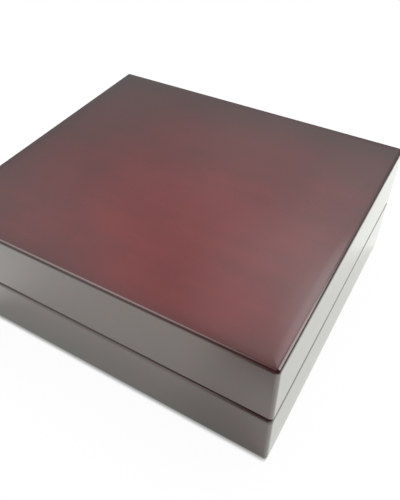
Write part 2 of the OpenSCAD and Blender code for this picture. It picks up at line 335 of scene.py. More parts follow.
def makeFelt(name):
    # Pressed wool felt: almost black, with short pale fibres
    stops = [(place, linearColour(colour)) for place, colour in (
        (0.35, "1d1a19"), (0.78, "55504b"), (0.6, "2d2927"))]
    return makeFibre(name, {"Scale": 1 / (1.2 * mm), "Detail": 5, "Distortion": 2}, stops,
                     {"Strength": 0.9, "Distance": 0.15 * mm},
                     {"Roughness": 1.0, "Specular IOR Level": 0.1, "Sheen Weight": 0.4,
                      "Sheen Roughness": 0.6, "Sheen Tint": linearColour("8c857d")})


def makeMetal(name, colourHex, wearHex, roughness, brushed):
    # Rolled and drum-polished metal: fine lines along X, duller in soft patches
    m = newMaterial(name)
    lineAt = objectPattern(m, (14 * mm, 0.25 * mm, 0.25 * mm))
    patchAt = objectPattern(m)
    lines = addNode(m, "ShaderNodeTexNoise", {"Scale": 1, "Detail": 3, "Vector": lineAt})
    patches = addNode(m, "ShaderNodeTexNoise", {
        "Scale": 1 / (5 * mm), "Detail": 3, "Vector": patchAt})
    colour = addNode(m, "ShaderNodeValToRGB", {"Fac": patches}, [
        (0.35, linearColour(wearHex)), (0.6, linearColour(colourHex))])
    rough = addNode(m, "ShaderNodeMapRange", {
        "From Min": 0.3, "From Max": 0.7, "To Min": roughness * 0.8, "To Max": roughness * 1.35,
        "Value": patches})
    bump = addNode(m, "ShaderNodeBump", {
        "Strength": brushed, "Distance": 0.01 * mm, "Height": lines})
    shader = addNode(m, "ShaderNodeBsdfPrincipled", {
        "Metallic": 1.0, "Base Color": colour, "Roughness": rough, "Normal": bump})
    return finishMaterial(m, shader)


topMahogany = makeMahogany("lacqueredMahoganyTop", True, 1, mahoganyLook["paintedEdgeShade"])
longMahogany = makeMahogany("lacqueredMahoganyLong", True, mahoganyLook["sideShade"])
endMahogany = makeMahogany("lacqueredMahoganyEnd", False, mahoganyLook["sideShade"])
bottomBoard = makeBareBoard("sealedFibreboard", "4a2a20", 0.3)
bareBoard = makeBareBoard("bareFibreboard", "8a6f4d", 0.3)
padCard = makeBareBoard("ivoryCard", "ddd2ba", 0.07)
velvet = makeVelvet("ivoryVelvet")
satin = makeSatin("ivorySatin")
felt = makeFelt("blackFelt")
brass = makeMetal("polishedBrass", "dcb96c", "cfa75a", 0.27, 0.2)
screwBrass = makeMetal("turnedBrass", "d2ad60", "bd954c", 0.3, 0.15)
nickel = makeMetal("nickelPlate", "a3a19b", "8b8882", 0.38, 0.15)
print("finishes made")

shell = {
    "edgeRadius": 2.5 * mm,   # top edge and upright corners
    "rimRadius": 2.4 * mm,    # both rims
    "footRadius": 1.4 * mm,
    "rimStretch": 1.75,       # the base's rim rounds further down its face than across its top
    "stretchEnds": (60 * mm, 98 * mm),   # fading out before the hinge board's stop groove
    "rollDrop": 0.3 * mm,     # how far sanding rolls the top off at its edge
    "rollWidth": 8 * mm,
    "rollRings": (0.06, 0.15, 0.27, 0.42, 0.6, 0.8, 1),   # shares of that width
    "cornerEase": 0.8,        # how fast the rings round off at the corners
    "filletSteps": 10,
    "darkEdge": 0.975,        # a face that leans past this cosine takes the boards' darker colour, partly stain and partly painted shade
    "keyGap": 0.1 * mm,       # between the panel's dropped middle and the linings
    "keyLap": 1.5 * mm,       # how far that middle stays above the pad's back
    "bendLimit": 25,          # degrees: past this a face keeps its own flat normal
}
caseHigh = cadBox[1]
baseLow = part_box("base_front_board")[0].z
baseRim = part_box("base_front_board")[1].z
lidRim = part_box("lid_front_board")[0].z
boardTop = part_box("lid_front_board")[1].z


def shellNormals(points, lowZ, highZ, lowRadius, highRadius):
    # Outward normals of a box with round edges and round upright corners, so
    # that the lacquer runs over the mitres without a break.
    r = shell["edgeRadius"]
    inner = np.array([caseHigh.x - r, caseHigh.y - r])
    away = points[:, :2] - np.clip(points[:, :2], -inner, inner)
    length = np.linalg.norm(away, axis=1)
    flat = length < 1e-7
    outward = np.where(flat[:, None], 0, away / np.maximum(length, 1e-7)[:, None])
    depth = np.where(flat, 1, r - length)
    normals = np.zeros_like(points)
    normals[:, :2] = outward
    for edgeZ, radius, up in ((highZ, highRadius, 1), (lowZ, lowRadius, -1)):
        rise = (points[:, 2] - edgeZ) * up + radius
        near = rise > 1e-7
        side = np.clip((radius - depth) / radius, 0, 1)
        normals[near, :2] = (outward * side[:, None])[near]
        normals[near, 2] = up * (rise / radius)[near]
    return unit(normals)


def useNormals(mesh, wanted):
    # wanted: one normal per vertex, used where the face nearly agrees with it
    mesh.shade_smooth()
    nearly = math.cos(math.radians(shell["bendLimit"]))
    faceNormals = np.array([p.normal for p in mesh.polygons])
    loops = np.empty((len(mesh.loops), 3))
    for p in mesh.polygons:
        for i in p.loop_indices:
            best = wanted[mesh.loops[i].vertex_index]
            loops[i] = best if best @ faceNormals[p.index] > nearly else p.normal
    mesh.normals_split_custom_set([tuple(n) for n in loops])


def pointsOf(mesh):
    return np.array([v.co for v in mesh.vertices])


def unit(vectors):
    return vectors / np.maximum(np.linalg.norm(vectors, axis=1), 1e-9)[:, None]


def mergedCopy(nodeName, pieceName):
    mesh = nodes[nodeName].data.copy()
    mesh.name = pieceName
    bm = bmesh.new()
    bm.from_mesh(mesh)
    bmesh.ops.remove_doubles(bm, verts=bm.verts, dist=1e-6)
    bm.to_mesh(mesh)
    bm.free()
    return meshObject(pieceName, mesh)


def rimStretch(points):
    # how much further down each point of the base's rounded rim lies
    r = shell["rimRadius"] * 1.01    # a hair over, so that the last row of points counts
    inner = np.array([caseHigh.x, caseHigh.y]) - shell["edgeRadius"]
    away = points[:, :2] - np.clip(points[:, :2], -inner, inner)
    depth = shell["edgeRadius"] - np.linalg.norm(away, axis=1)
    drop = baseRim - points[:, 2]
    start, end = shell["stretchEnds"]
    share = np.clip((end - points[:, 1]) / (end - start), 0, 1)
    onRim = (drop > 1e-6) & (drop < r) & (depth < r) & (np.abs(away).max(axis=1) > 1e-6)
    return np.where(onRim, 1 + (shell["rimStretch"] - 1) * share, 1)


def polishBoard(nodeName, material):
    piece = mergedCopy(nodeName, nodeName.replace("board", "lacquer"))
    points = pointsOf(piece.data)
    lidPart = nodeName.startswith("lid")
    wanted = (shellNormals(points, lidRim, caseHigh.z, shell["rimRadius"], shell["edgeRadius"])
              if lidPart else
              shellNormals(points, baseLow, baseRim, shell["footRadius"], shell["rimRadius"]))
    if nodeName.startswith("base") and "back" not in nodeName:
        stretch = rimStretch(points)
        wanted[:, 2] /= stretch
        wanted = unit(wanted)
        for vertex, factor in zip(piece.data.vertices, stretch):
            vertex.co.z = baseRim - (baseRim - vertex.co.z) * factor
    useNormals(piece.data, wanted)
    seatPiece(piece, [nodeName], material)


for part in ("base", "lid"):
    for side in ("front", "back"):
        polishBoard(f"{part}_{side}_board", longMahogany)
    for side in ("left", "right"):
        polishBoard(f"{part}_{side}_board", endMahogany)


def ringPoints(inset, z, radius, steps):
    # one ring of the top panel, corner by corner, anticlockwise from +X +Y
    x, y = caseHigh.x - inset, caseHigh.y - inset
    ring = []
    for corner, (sx, sy) in enumerate(((1, 1), (-1, 1), (-1, -1), (1, -1))):
        for i in range(steps + 1):
            a = math.pi / 2 * (corner + i / steps)
            ring.append((sx * (x - radius) + radius * math.cos(a),
                         sy * (y - radius) + radius * math.sin(a), z))
    return ring


def loftRings(name, rings, capped):
    # each ring of points is joined to the next; the ends are closed or joined to each other
    bm = bmesh.new()
    loops = [[bm.verts.new(point) for point in ring] for ring in rings]
    for a, b in zip(loops, loops[1:] + ([] if capped else loops[:1])):
        for i in range(len(a)):
            j = (i + 1) % len(a)
            bm.faces.new((a[i], a[j], b[j], b[i]))
    if capped:
        bm.faces.new(loops[0][::-1])
        bm.faces.new(loops[-1])
        bmesh.ops.remove_doubles(bm, verts=bm.verts, dist=1e-7)
    bmesh.ops.recalc_face_normals(bm, faces=bm.faces)
    mesh = bpy.data.meshes.new(name)
    bm.to_mesh(mesh)
    bm.free()
    return mesh


def rollOff(inset):
    return shell["rollDrop"] * max(0, 1 - inset / shell["rollWidth"]) ** 2


def shapeTopPanel():
    # rings run from the joint with the boards, up and over the edge, to the flat middle
    r, steps = shell["edgeRadius"], shell["filletSteps"]
    top = caseHigh.z
    rings = [(0, boardTop, r), (0, top - r - rollOff(0), r)]
    for i in range(1, steps + 1):
        a = math.pi / 2 * i / steps
        inset = r * (1 - math.cos(a))
        rings.append((inset, top - r + r * math.sin(a) - rollOff(inset), r - inset))
    for share in shell["rollRings"]:
        inset = r + (shell["rollWidth"] - r) * share
        rings.append((inset, top - rollOff(inset), (inset - r) * shell["cornerEase"]))
    key = caseHigh.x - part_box("lid_front_liner")[1].x + shell["keyGap"]
    under = [(key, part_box("lid_pad")[1].z + shell["keyLap"], 0), (key, boardTop, 0)]
    mesh = loftRings("lid_top_lacquer", [ringPoints(inset, z, radius, steps)
                                         for inset, z, radius in under + rings], True)
    points = pointsOf(mesh)
    wanted = shellNormals(points, lidRim, top, shell["rimRadius"], r)
    inset = np.minimum(caseHigh.x - abs(points[:, 0]), caseHigh.y - abs(points[:, 1]))
    left = np.clip(1 - inset / shell["rollWidth"], 0, 1)
    slope = 2 * shell["rollDrop"] / shell["rollWidth"] * left
    alongX = (caseHigh.x - abs(points[:, 0])) < (caseHigh.y - abs(points[:, 1]))
    upper = points[:, 2] > top - r
    wanted[:, 0] += np.where(alongX & upper, np.sign(points[:, 0]) * slope, 0)
    wanted[:, 1] += np.where(~alongX & upper, np.sign(points[:, 1]) * slope, 0)
    useNormals(mesh, unit(wanted))
    piece = meshObject("lid_top_lacquer", mesh)
    for material in (topMahogany, longMahogany, endMahogany):
        mesh.materials.append(material)
    # faces that lean away from up take the boards' darker colour: partly stain, partly painted
    # shade on the rounded edge
    for face in mesh.polygons:
        if abs(face.normal.z) < shell["darkEdge"]:
            face.material_index = 2 if abs(face.normal.x) > abs(face.normal.y) else 1
    seatPiece(piece, ["lid_top_panel"])


shapeTopPanel()
print("boards polished")

for nodeName, material in (("base_bottom_panel", bottomBoard), ("bed_board", bareBoard),
                           ("lid_pad_card", padCard), ("felt_sheet", felt)):
    setMaterial(nodes[nodeName], material)
print("hidden boards finished")

liningLook = {
    "wrapRadius": 0.9 * mm,     # cloth turned over a board's edge
    "metalEdge": 0.12 * mm,
    "magnetEdge": 0.25 * mm,
    "roundedFrom": 35,          # degrees: edges sharper than this are rounded over
    "roundingSteps": 3,
}


def roundedCopy(nodeName, pieceName, radius):
    # a merged copy with its sharp edges rounded over, shaded smooth
    piece = mergedCopy(nodeName, pieceName)
    bm = bmesh.new()
    bm.from_mesh(piece.data)
    bmesh.ops.dissolve_limit(bm, angle_limit=math.radians(1), verts=bm.verts, edges=bm.edges)
    limit = math.radians(liningLook["roundedFrom"])
    sharp = [e for e in bm.edges if e.is_manifold and e.calc_face_angle() > limit]
    bmesh.ops.bevel(bm, geom=sharp, offset=radius, segments=liningLook["roundingSteps"],
                    profile=0.5, affect="EDGES", clamp_overlap=True)
    bm.to_mesh(piece.data)
    bm.free()
    piece.data.shade_smooth()
    weighted = piece.modifiers.new("flatFacesStayFlat", "WEIGHTED_NORMAL")
    weighted.keep_sharp = False
    return applyModifiers(piece)


wrap = liningLook["wrapRadius"]
for side in ("front", "back", "left", "right"):
    piece = roundedCopy(f"base_{side}_liner", f"base_{side}_velvet_strip", wrap)
    seatPiece(piece, [f"base_{side}_liner"], velvet)
    piece = roundedCopy(f"lid_{side}_liner", f"lid_{side}_satin_strip", wrap / 2)
    seatPiece(piece, [f"lid_{side}_liner"], satin)
print("linings covered")

bedLook = {
    "edgeRadius": 3 * mm,
    "crown": 1.8 * mm,         # padding under the velvet on the rails
    "crownSink": 0.6,          # share of it that starts below the solid's top
    "crownPower": 0.7,         # under 1 is fuller at its sides
    "seamDepth": 0.7 * mm,     # mitred joints in the cloth at the corners
    "seamWidth": 1.0 * mm,
    "waviness": 0.3 * mm,
    "railSteps": 14,
    "wallSteps": 5,
    "cornerSteps": 10,
    "sideCuts": 30,
    "nearCorner": (1.0 * mm, 2.2 * mm, 3.8 * mm, 6 * mm, 9 * mm),   # closer cuts, for the seams
    "paddedFrom": 24 * mm,     # seams and waves start this high, and are full 4 mm higher
    "paddedOver": 4 * mm,
    "waveSize": 38 * mm,
    "outerCorner": 1.5 * mm,
    "wellCorner": 8 * mm,
    "wellGap": 0.3 * mm,
    "seed": 11,
}


def roundedRectangle(halfX, halfY, radius, cornerSteps, cuts):
    # points anticlockwise from the lower end of the right side
    near = bedLook["nearCorner"]
    points = []
    for quarter in range(4):
        turn = math.pi / 2 * quarter
        out, run = (halfX, halfY - radius) if quarter % 2 == 0 else (halfY, halfX - radius)
        plain = run - near[-1]
        stops = [-run + d for d in near]
        stops += [plain * (2 * i / cuts - 1) for i in range(1, cuts)]
        stops += [run - d for d in reversed(near)]
        side = [(out, t) for t in stops]
        for i in range(cornerSteps + 1):
            a = math.pi / 2 * i / cornerSteps
            side.append((out - radius + radius * math.cos(a), run + radius * math.sin(a)))
        c, s = math.cos(turn), math.sin(turn)
        points += [(u * c - v * s, u * s + v * c) for u, v in side]
    return points


def bedProfile(rail, height):
    # (inset, height) round the rail's section, from the foot of its outer side
    look = bedLook
    r, steps = look["edgeRadius"], look["wallSteps"]
    flat = height - look["crown"] * look["crownSink"]
    outer = [(0, (flat - r) * i / steps) for i in range(steps + 1)]
    outer += [(r - r * math.cos(a), flat - r + r * math.sin(a))
              for a in (math.pi / 2 * i / steps for i in range(1, steps + 1))]
    top = []
    for i in range(1, look["railSteps"]):
        t = i / look["railSteps"]
        crown = look["crown"] * math.sin(math.pi * t) ** look["crownPower"]
        top.append((r + (rail - 2 * r) * t, flat + crown))
    return outer + top + [(rail - inset, z) for inset, z in reversed(outer)]


def shapeBed():
    look = bedLook
    low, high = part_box("velvet_bed")
    rail = high.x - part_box("well_pad")[1].x - look["wellGap"]
    rings = []
    for inset, z in bedProfile(rail, high.z - low.z):
        radius = look["outerCorner"] + (look["wellCorner"] - look["outerCorner"]) * inset / rail
        ring = []
        for x, y in roundedRectangle(high.x - inset, high.y - inset, radius, look["cornerSteps"],
                                     look["sideCuts"]):
            fromSeam = ((high.x - abs(x)) - (high.y - abs(y))) / math.sqrt(2)
            onTop = min(1, max(0, (z - look["paddedFrom"]) / look["paddedOver"]))
            onTop *= 0 < inset < rail
            seam = look["seamDepth"] * math.exp(-(fromSeam / look["seamWidth"]) ** 2) * onTop
            place = Vector((x, y, z)) / look["waveSize"] + Vector((look["seed"], 0, 0))
            wave = look["waviness"] * noise.noise(place) * onTop
            ring.append((x, y, low.z + z - seam + wave))
        rings.append(ring)
    mesh = loftRings("velvet_bed_cover", rings, False)
    mesh.shade_smooth()
    piece = meshObject("velvet_bed_cover", mesh)
    seatPiece(piece, ["velvet_bed"], velvet)


shapeBed()
print("bed covered")

padLook = {
    "voxel": 4 * mm,
    "frames": 20,
    "startHeight": 0.85,       # it starts thinner than its place, and swells
    "gluedBand": 2.5 * mm,
    "cloth": {"uniform_pressure_force": 4.0, "tension_stiffness": 10,
              "compression_stiffness": 10, "bending_stiffness": 0.4},
    "wellPad": {"swell": 2.2 * mm, "fill": 0.75, "start": 0.99},
    "lidPad": {"swell": 3.0 * mm, "fill": 0.6, "start": 0.985,
               # gathers in the satin: ranges, then how far each strays from its even place,
               # as a share of the step between them, and how far it leans
               "tucks": 96, "tuckDepth": (0.455 * mm, 1.3 * mm),
               "tuckWidth": (1.19 * mm, 2.38 * mm), "tuckLength": (8.5 * mm, 20.4 * mm),
               "tuckStray": 0.35, "tuckLean": 0.35, "seed": 5},
}


def swellPad(nodeName, pieceName, look, facing):
    # Stuffs the pad by cloth simulation. facing is +1 if its soft side looks up and
    # -1 if down; the other side is glued down and stays.
    piece = mergedCopy(nodeName, pieceName)
    low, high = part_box(nodeName)
    glued = low.z if facing > 0 else high.z
    middle = (low + high) / 2
    remesh = piece.modifiers.new("evenMesh", "REMESH")
    remesh.mode = "VOXEL"
    remesh.voxel_size = padLook["voxel"]
    applyModifiers(piece)
    mesh = piece.data
    start = pointsOf(mesh)
    start[:, 2] = glued + (start[:, 2] - glued) * padLook["startHeight"]
    start[:, :2] = middle[:2] + (start[:, :2] - middle[:2]) * look["start"]
    mesh.vertices.foreach_set("co", start.ravel())
    pinned = piece.vertex_groups.new(name="glued")
    rim = [i for i, point in enumerate(start) if abs(point[2] - glued) < padLook["gluedBand"]]
    pinned.add(rim, 1.0, "REPLACE")
    cloth = piece.modifiers.new("stuffing", "CLOTH")
    cloth.settings.use_pressure = True
    cloth.settings.effector_weights.gravity = 0
    cloth.settings.vertex_group_mass = "glued"
    for name, value in padLook["cloth"].items():
        setattr(cloth.settings, name, value)
    cloth.point_cache.frame_start = 1
    cloth.point_cache.frame_end = padLook["frames"]
    scene = bpy.context.scene
    for step in range(1, padLook["frames"] + 1):
        scene.frame_set(step)
    depsgraph = bpy.context.evaluated_depsgraph_get()
    swollen = piece.evaluated_get(depsgraph).to_mesh()
    end = pointsOf(swollen)
    scene.frame_set(1)
    piece.modifiers.clear()
    piece.vertex_groups.clear()
    move = end - start
    length = np.linalg.norm(move, axis=1)
    print(pieceName, "moved by up to", round(length.max() / mm, 1), "mm")
    scale = np.minimum(1, look["swell"] / np.maximum(length, 1e-9))
    end = start + move * scale[:, None]
    end[:, :2] = np.clip(end[:, :2], low[:2], high[:2])   # it presses flat on what is round it
    mesh.vertices.foreach_set("co", end.ravel())
    return piece


def refinePad(piece, levels):
    smooth = piece.modifiers.new("evenOut", "SMOOTH")
    smooth.iterations = 3
    finer = piece.modifiers.new("finer", "SUBSURF")
    finer.levels = levels
    finer.render_levels = levels
    applyModifiers(piece)
    piece.data.shade_smooth()


def pullTucks(piece, look, middle, halfX, halfY):
    # gathers round the edge, where the satin is pulled over the pad and glued behind
    chance = random.Random(look["seed"])
    loop = 4 * (halfX + halfY)
    stray, tilt = look["tuckStray"], look["tuckLean"]
    tucks = [(loop * (i + chance.uniform(-stray, stray)) / look["tucks"],
              chance.uniform(*look["tuckDepth"]), chance.uniform(*look["tuckWidth"]),
              chance.uniform(*look["tuckLength"]), chance.uniform(-tilt, tilt))
             for i in range(look["tucks"])]
    where, depth, width, reach, lean = (np.array(column)[None, :] for column in zip(*tucks))
    points = pointsOf(piece.data)
    x, y = points[:, 0] - middle.x, points[:, 1] - middle.y
    toX, toY = halfX - abs(x), halfY - abs(y)
    inset = np.maximum(np.minimum(toX, toY), 0)
    along = np.where(toX < toY, np.where(x > 0, halfY + y, 2 * halfX + 3 * halfY - y),
                     np.where(y > 0, 2 * halfY + halfX - x, 3 * halfX + 4 * halfY + x))
    offset = along[:, None] - where - lean * inset[:, None]
    offset = (offset + loop / 2) % loop - loop / 2
    pull = depth * np.exp(-(offset / width) ** 2) * np.exp(-(inset[:, None] / reach) ** 2)
    points[:, 2] += pull.sum(axis=1)
    piece.data.vertices.foreach_set("co", points.ravel())


def makePads():
    look = padLook["wellPad"]
    pad = swellPad("well_pad", "well_cushion", look, 1)
    refinePad(pad, 1)
    seatPiece(pad, ["well_pad"], velvet)
    look = padLook["lidPad"]
    pad = swellPad("lid_pad", "lid_cushion", look, -1)
    refinePad(pad, 2)
    low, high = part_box("lid_pad")
    pullTucks(pad, look, (low + high) / 2, high.x, high.y)
    seatPiece(pad, ["lid_pad"], satin)


makePads()
print("pads stuffed")

for nodeName in nodes:
    if "leaf" in nodeName or nodeName.endswith("pin"):
        piece = roundedCopy(nodeName, nodeName + "_brass", liningLook["metalEdge"])
        seatPiece(piece, [nodeName], brass)
    if nodeName.endswith("magnets"):
        piece = roundedCopy(nodeName, nodeName + "_nickel", liningLook["magnetEdge"])
        seatPiece(piece, [nodeName], nickel)
print("hinges and magnets polished")

screwLook = {
    "sides": 32,
    "shank": 0.5,              # share of the head's radius
    "tip": 0.3,                # share of the shank's radius
    "length": 9 * mm,
    "slotWidth": 0.5 * mm,
    "slotDepth": 0.45 * mm,
    "threadPitch": 0.9 * mm,
    "threadDepth": 0.22 * mm,
    "seed": 3,                 # which way each slot was left
}


def screwTree():
    # Countersunk screws with a slot and a thread, in a row of three on each hinge.
    # Heads face up, and turnOver (an angle) turns them to face down.
    tree = bpy.data.node_groups.new("hingeScrews", "GeometryNodeTree")
    tree.is_modifier = True
    for kind, names in (
            ("Float", ("headRadius", "headDepth", "shankRadius", "shankDepth", "tipRadius",
                       "threadTurns", "threadDepth", "turnOver")),
            ("Vector", ("headPlace", "slotSize", "shankPlace", "rowStart", "rowStep",
                        "pairStart", "pairStep")),
            ("Int", ("sides", "seed")), ("Material", ("brass",))):
        for name in names:
            tree.interface.new_socket(name, in_out="INPUT", socket_type="NodeSocket" + kind)
    tree.interface.new_socket("screws", in_out="OUTPUT", socket_type="NodeSocketGeometry")
    size = addNode(tree, "NodeGroupInput").outputs

    # the head, a cone with a slot cut across it
    cone = addNode(tree, "GeometryNodeMeshCone", {
        "Vertices": size["sides"], "Radius Top": size["headRadius"],
        "Radius Bottom": size["shankRadius"], "Depth": size["headDepth"]})
    head = addNode(tree, "GeometryNodeTransform", {
        "Geometry": cone, "Translation": size["headPlace"]})
    slot = addNode(tree, "GeometryNodeMeshCube", {"Size": size["slotSize"]})
    slotted = addNode(tree, "GeometryNodeMeshBoolean", {
        "operation": "DIFFERENCE", "Mesh 1": head, "Mesh 2": slot})

    # the shank tapers to its point, and the thread winds round it
    taper = addNode(tree, "GeometryNodeMeshCone", {
        "Vertices": size["sides"], "Radius Top": size["shankRadius"],
        "Radius Bottom": size["tipRadius"], "Depth": size["shankDepth"]})
    helix = addNode(tree, "GeometryNodeCurveSpiral", {
        "Resolution": 16, "Rotations": size["threadTurns"], "Start Radius": size["tipRadius"],
        "End Radius": size["shankRadius"], "Height": size["shankDepth"]})
    ridge = addNode(tree, "GeometryNodeCurvePrimitiveCircle", {
        "Resolution": 3, "Radius": size["threadDepth"]})
    wound = addNode(tree, "GeometryNodeCurveToMesh", {
        "Fill Caps": True, "Curve": helix, "Profile Curve": ridge})
    body = addNode(tree, "GeometryNodeJoinGeometry", {0: [taper, wound]})
    shank = addNode(tree, "GeometryNodeTransform", {
        "Geometry": body, "Translation": size["shankPlace"]})
    screw = addNode(tree, "GeometryNodeJoinGeometry", {0: [slotted, shank]})

    # a row of three along X, copied to both hinges
    row = addNode(tree, "GeometryNodeMeshLine", {
        "Count": 3, "Start Location": size["rowStart"], "Offset": size["rowStep"]})
    pair = addNode(tree, "GeometryNodeMeshLine", {
        "Count": 2, "Start Location": size["pairStart"], "Offset": size["pairStep"]})
    rows = addNode(tree, "GeometryNodeInstanceOnPoints", {"Points": pair, "Instance": row})
    places = addNode(tree, "GeometryNodeRealizeInstances", {"Geometry": rows})
    slotTurn = addNode(tree, "FunctionNodeRandomValue", {
        "data_type": "FLOAT", 2: 0.0, 3: math.pi, "Seed": size["seed"]}).outputs[1]
    facing = addNode(tree, "ShaderNodeCombineXYZ", {"X": size["turnOver"], "Z": slotTurn})
    screws = addNode(tree, "GeometryNodeInstanceOnPoints", {
        "Points": places, "Instance": screw, "Rotation": facing})
    solid = addNode(tree, "GeometryNodeRealizeInstances", {"Geometry": screws})
    dressed = addNode(tree, "GeometryNodeSetMaterial", {
        "Geometry": solid, "Material": size["brass"]})
    addNode(tree, "NodeGroupOutput", {"screws": dressed})
    arrangeNodes(tree)
    return tree


def driveScrews():
    # one mesh of six screws for each body, flush with the leaf that they hold
    look = screwLook
    tree = screwTree()
    sockets = {item.name: item.identifier for item in tree.interface.items_tree
               if item.in_out == "INPUT"}
    hingeX = abs(sum(corner.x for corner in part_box("right_hinge_pin")) / 2)
    for nodeName, headsUp in (("base_hinge_screws", True), ("lid_hinge_screws", False)):
        low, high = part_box(nodeName)
        headRadius = (high.y - low.y) / 2
        shankRadius = headRadius * look["shank"]
        headDepth = headRadius - shankRadius
        shankDepth = look["length"] - headDepth
        pitch = high.x - headRadius - hingeX
        piece = meshObject(nodeName + "_turned", bpy.data.meshes.new(nodeName))
        modifier = piece.modifiers.new("screws", "NODES")
        modifier.node_group = tree
        values = {
            "headRadius": headRadius, "headDepth": headDepth,
            "shankRadius": shankRadius, "shankDepth": shankDepth,
            "tipRadius": shankRadius * look["tip"],
            "threadTurns": shankDepth / look["threadPitch"], "threadDepth": look["threadDepth"],
            "headPlace": (0, 0, -headDepth), "shankPlace": (0, 0, -look["length"]),
            "slotSize": (3 * headRadius, look["slotWidth"], 2 * look["slotDepth"]),
            "rowStart": (-pitch, (low.y + high.y) / 2, high.z if headsUp else low.z),
            "rowStep": (pitch, 0, 0),
            "pairStart": (-hingeX, 0, 0), "pairStep": (2 * hingeX, 0, 0),
            "turnOver": 0.0 if headsUp else math.pi,
            "sides": look["sides"], "seed": look["seed"], "brass": screwBrass,
        }
        for name, value in values.items():
            modifier[sockets[name]] = value
        applyModifiers(piece)
        piece.data.set_sharp_from_angle(angle=math.radians(30))
        seatPiece(piece, [nodeName])


driveScrews()
print("screws driven")

stageLook = {
    "floorSize": 6.0,
    "floorShadeSeen": 0.03,       # how much of the floor's own shadow the camera sees
    "floorShadeMirrored": 0.5,    # and how much the lacquer mirrors
    "mirroredFloorTint": "fcfff9",        # painted reflection tint: only as the lacquer mirrors it is the board very slightly green
    # from behind, on the floor alone: the lacquer mirrors the shade that the case casts
    "floorSun": {"energy": 6.0, "from": (0, 0.82, 0.57), "softness": 100},
    # from above, for cloth and metal inside, which the case's own walls shade
    "liningSun": {"energy": 0.9, "from": (0, -0.45, 1), "softness": 110},
    "skyLevel": 0.15,
    "contactReach": (0.003, 0.035),   # how far the painted contact shadow spreads: seen, mirrored
    "contactLevel": (0.35, 0.85),     # and how bright it stays at the foot
    "contactOpenness": (0.5, 0.93),   # the share of open sky where it is darkest and where it ends
    "washedFrom": 0.1245,             # painted light: past this X the floor stays at full brightness, without the painted contact shadow and dark patch
    "darkAlongX": (0.03, 0.085, 0),   # painted reflection: as the lacquer mirrors it, the floor is darker in front of the near corner:
    "darkAlongY": (-0.143, -0.215, 0.2),   # from, to, and how much of it shows nearer
    "darkLevel": 0.1,
    "boardReach": (0.3, 0.62),    # painted reflection: past this far from the middle the floor is dimmer as the lacquer mirrors it, standing in for a dim room
    "mirroredDimShare": 0.7,               # and this share of the white is gone there
    # the walls of the room, as the lacquer mirrors them
    "backWall": (0.2935, 0.6635),    # at the horizon and overhead
    "frontWall": (0.75, 0.08),       # at its left end and past that
    "frontEnds": (-0.55, -0.15),     # the X of the direction where one gives way to the other
    "backEnds": (-0.1, 0.35),        # and the Y where the front wall gives way to the back
    "lampPlace": (0.032, -0.052, 0.261),
    "lampSize": 0.14,
    "lampPower": 0.38,
    # soft boxes: direction, degrees to the inner and outer edge, brightness
    "softBoxes": (((0.0, 0.7, 0.71), 0, 18.5, 0.33),
                  ((-0.26, 0.74, 0.62), 0, 14, 0.14),
                  ((-0.63, 0.32, 0.7), 0, 18, 0.19),
                  ((-0.2, 0.6, 0.77), 0, 12, 0.3),
                  ((-0.02, 0.62, 0.784), 4, 11, 1.1),
                  ((0.313, 0.55, 0.774), 2, 11.5, 2.2),
                  ((0.559, 0.55, 0.62), 2, 11.5, 3.2),
                  ((0.737, 0.55, 0.392), 2, 11.5, 3.3),
                  ((0.5, 0.64, 0.58), 2, 17, 0.8),
                  ((-0.5, -0.3, 0.8), 3, 27, 2.0)),
}


def raysOf(owner):
    # camera rays, and the rays that show a mirror image
    rays = addNode(owner, "ShaderNodeLightPath").outputs
    return rays["Is Camera Ray"], addNode(owner, "ShaderNodeMath", {
        "operation": "MAXIMUM", 0: rays["Is Glossy Ray"], 1: rays["Is Transmission Ray"]})


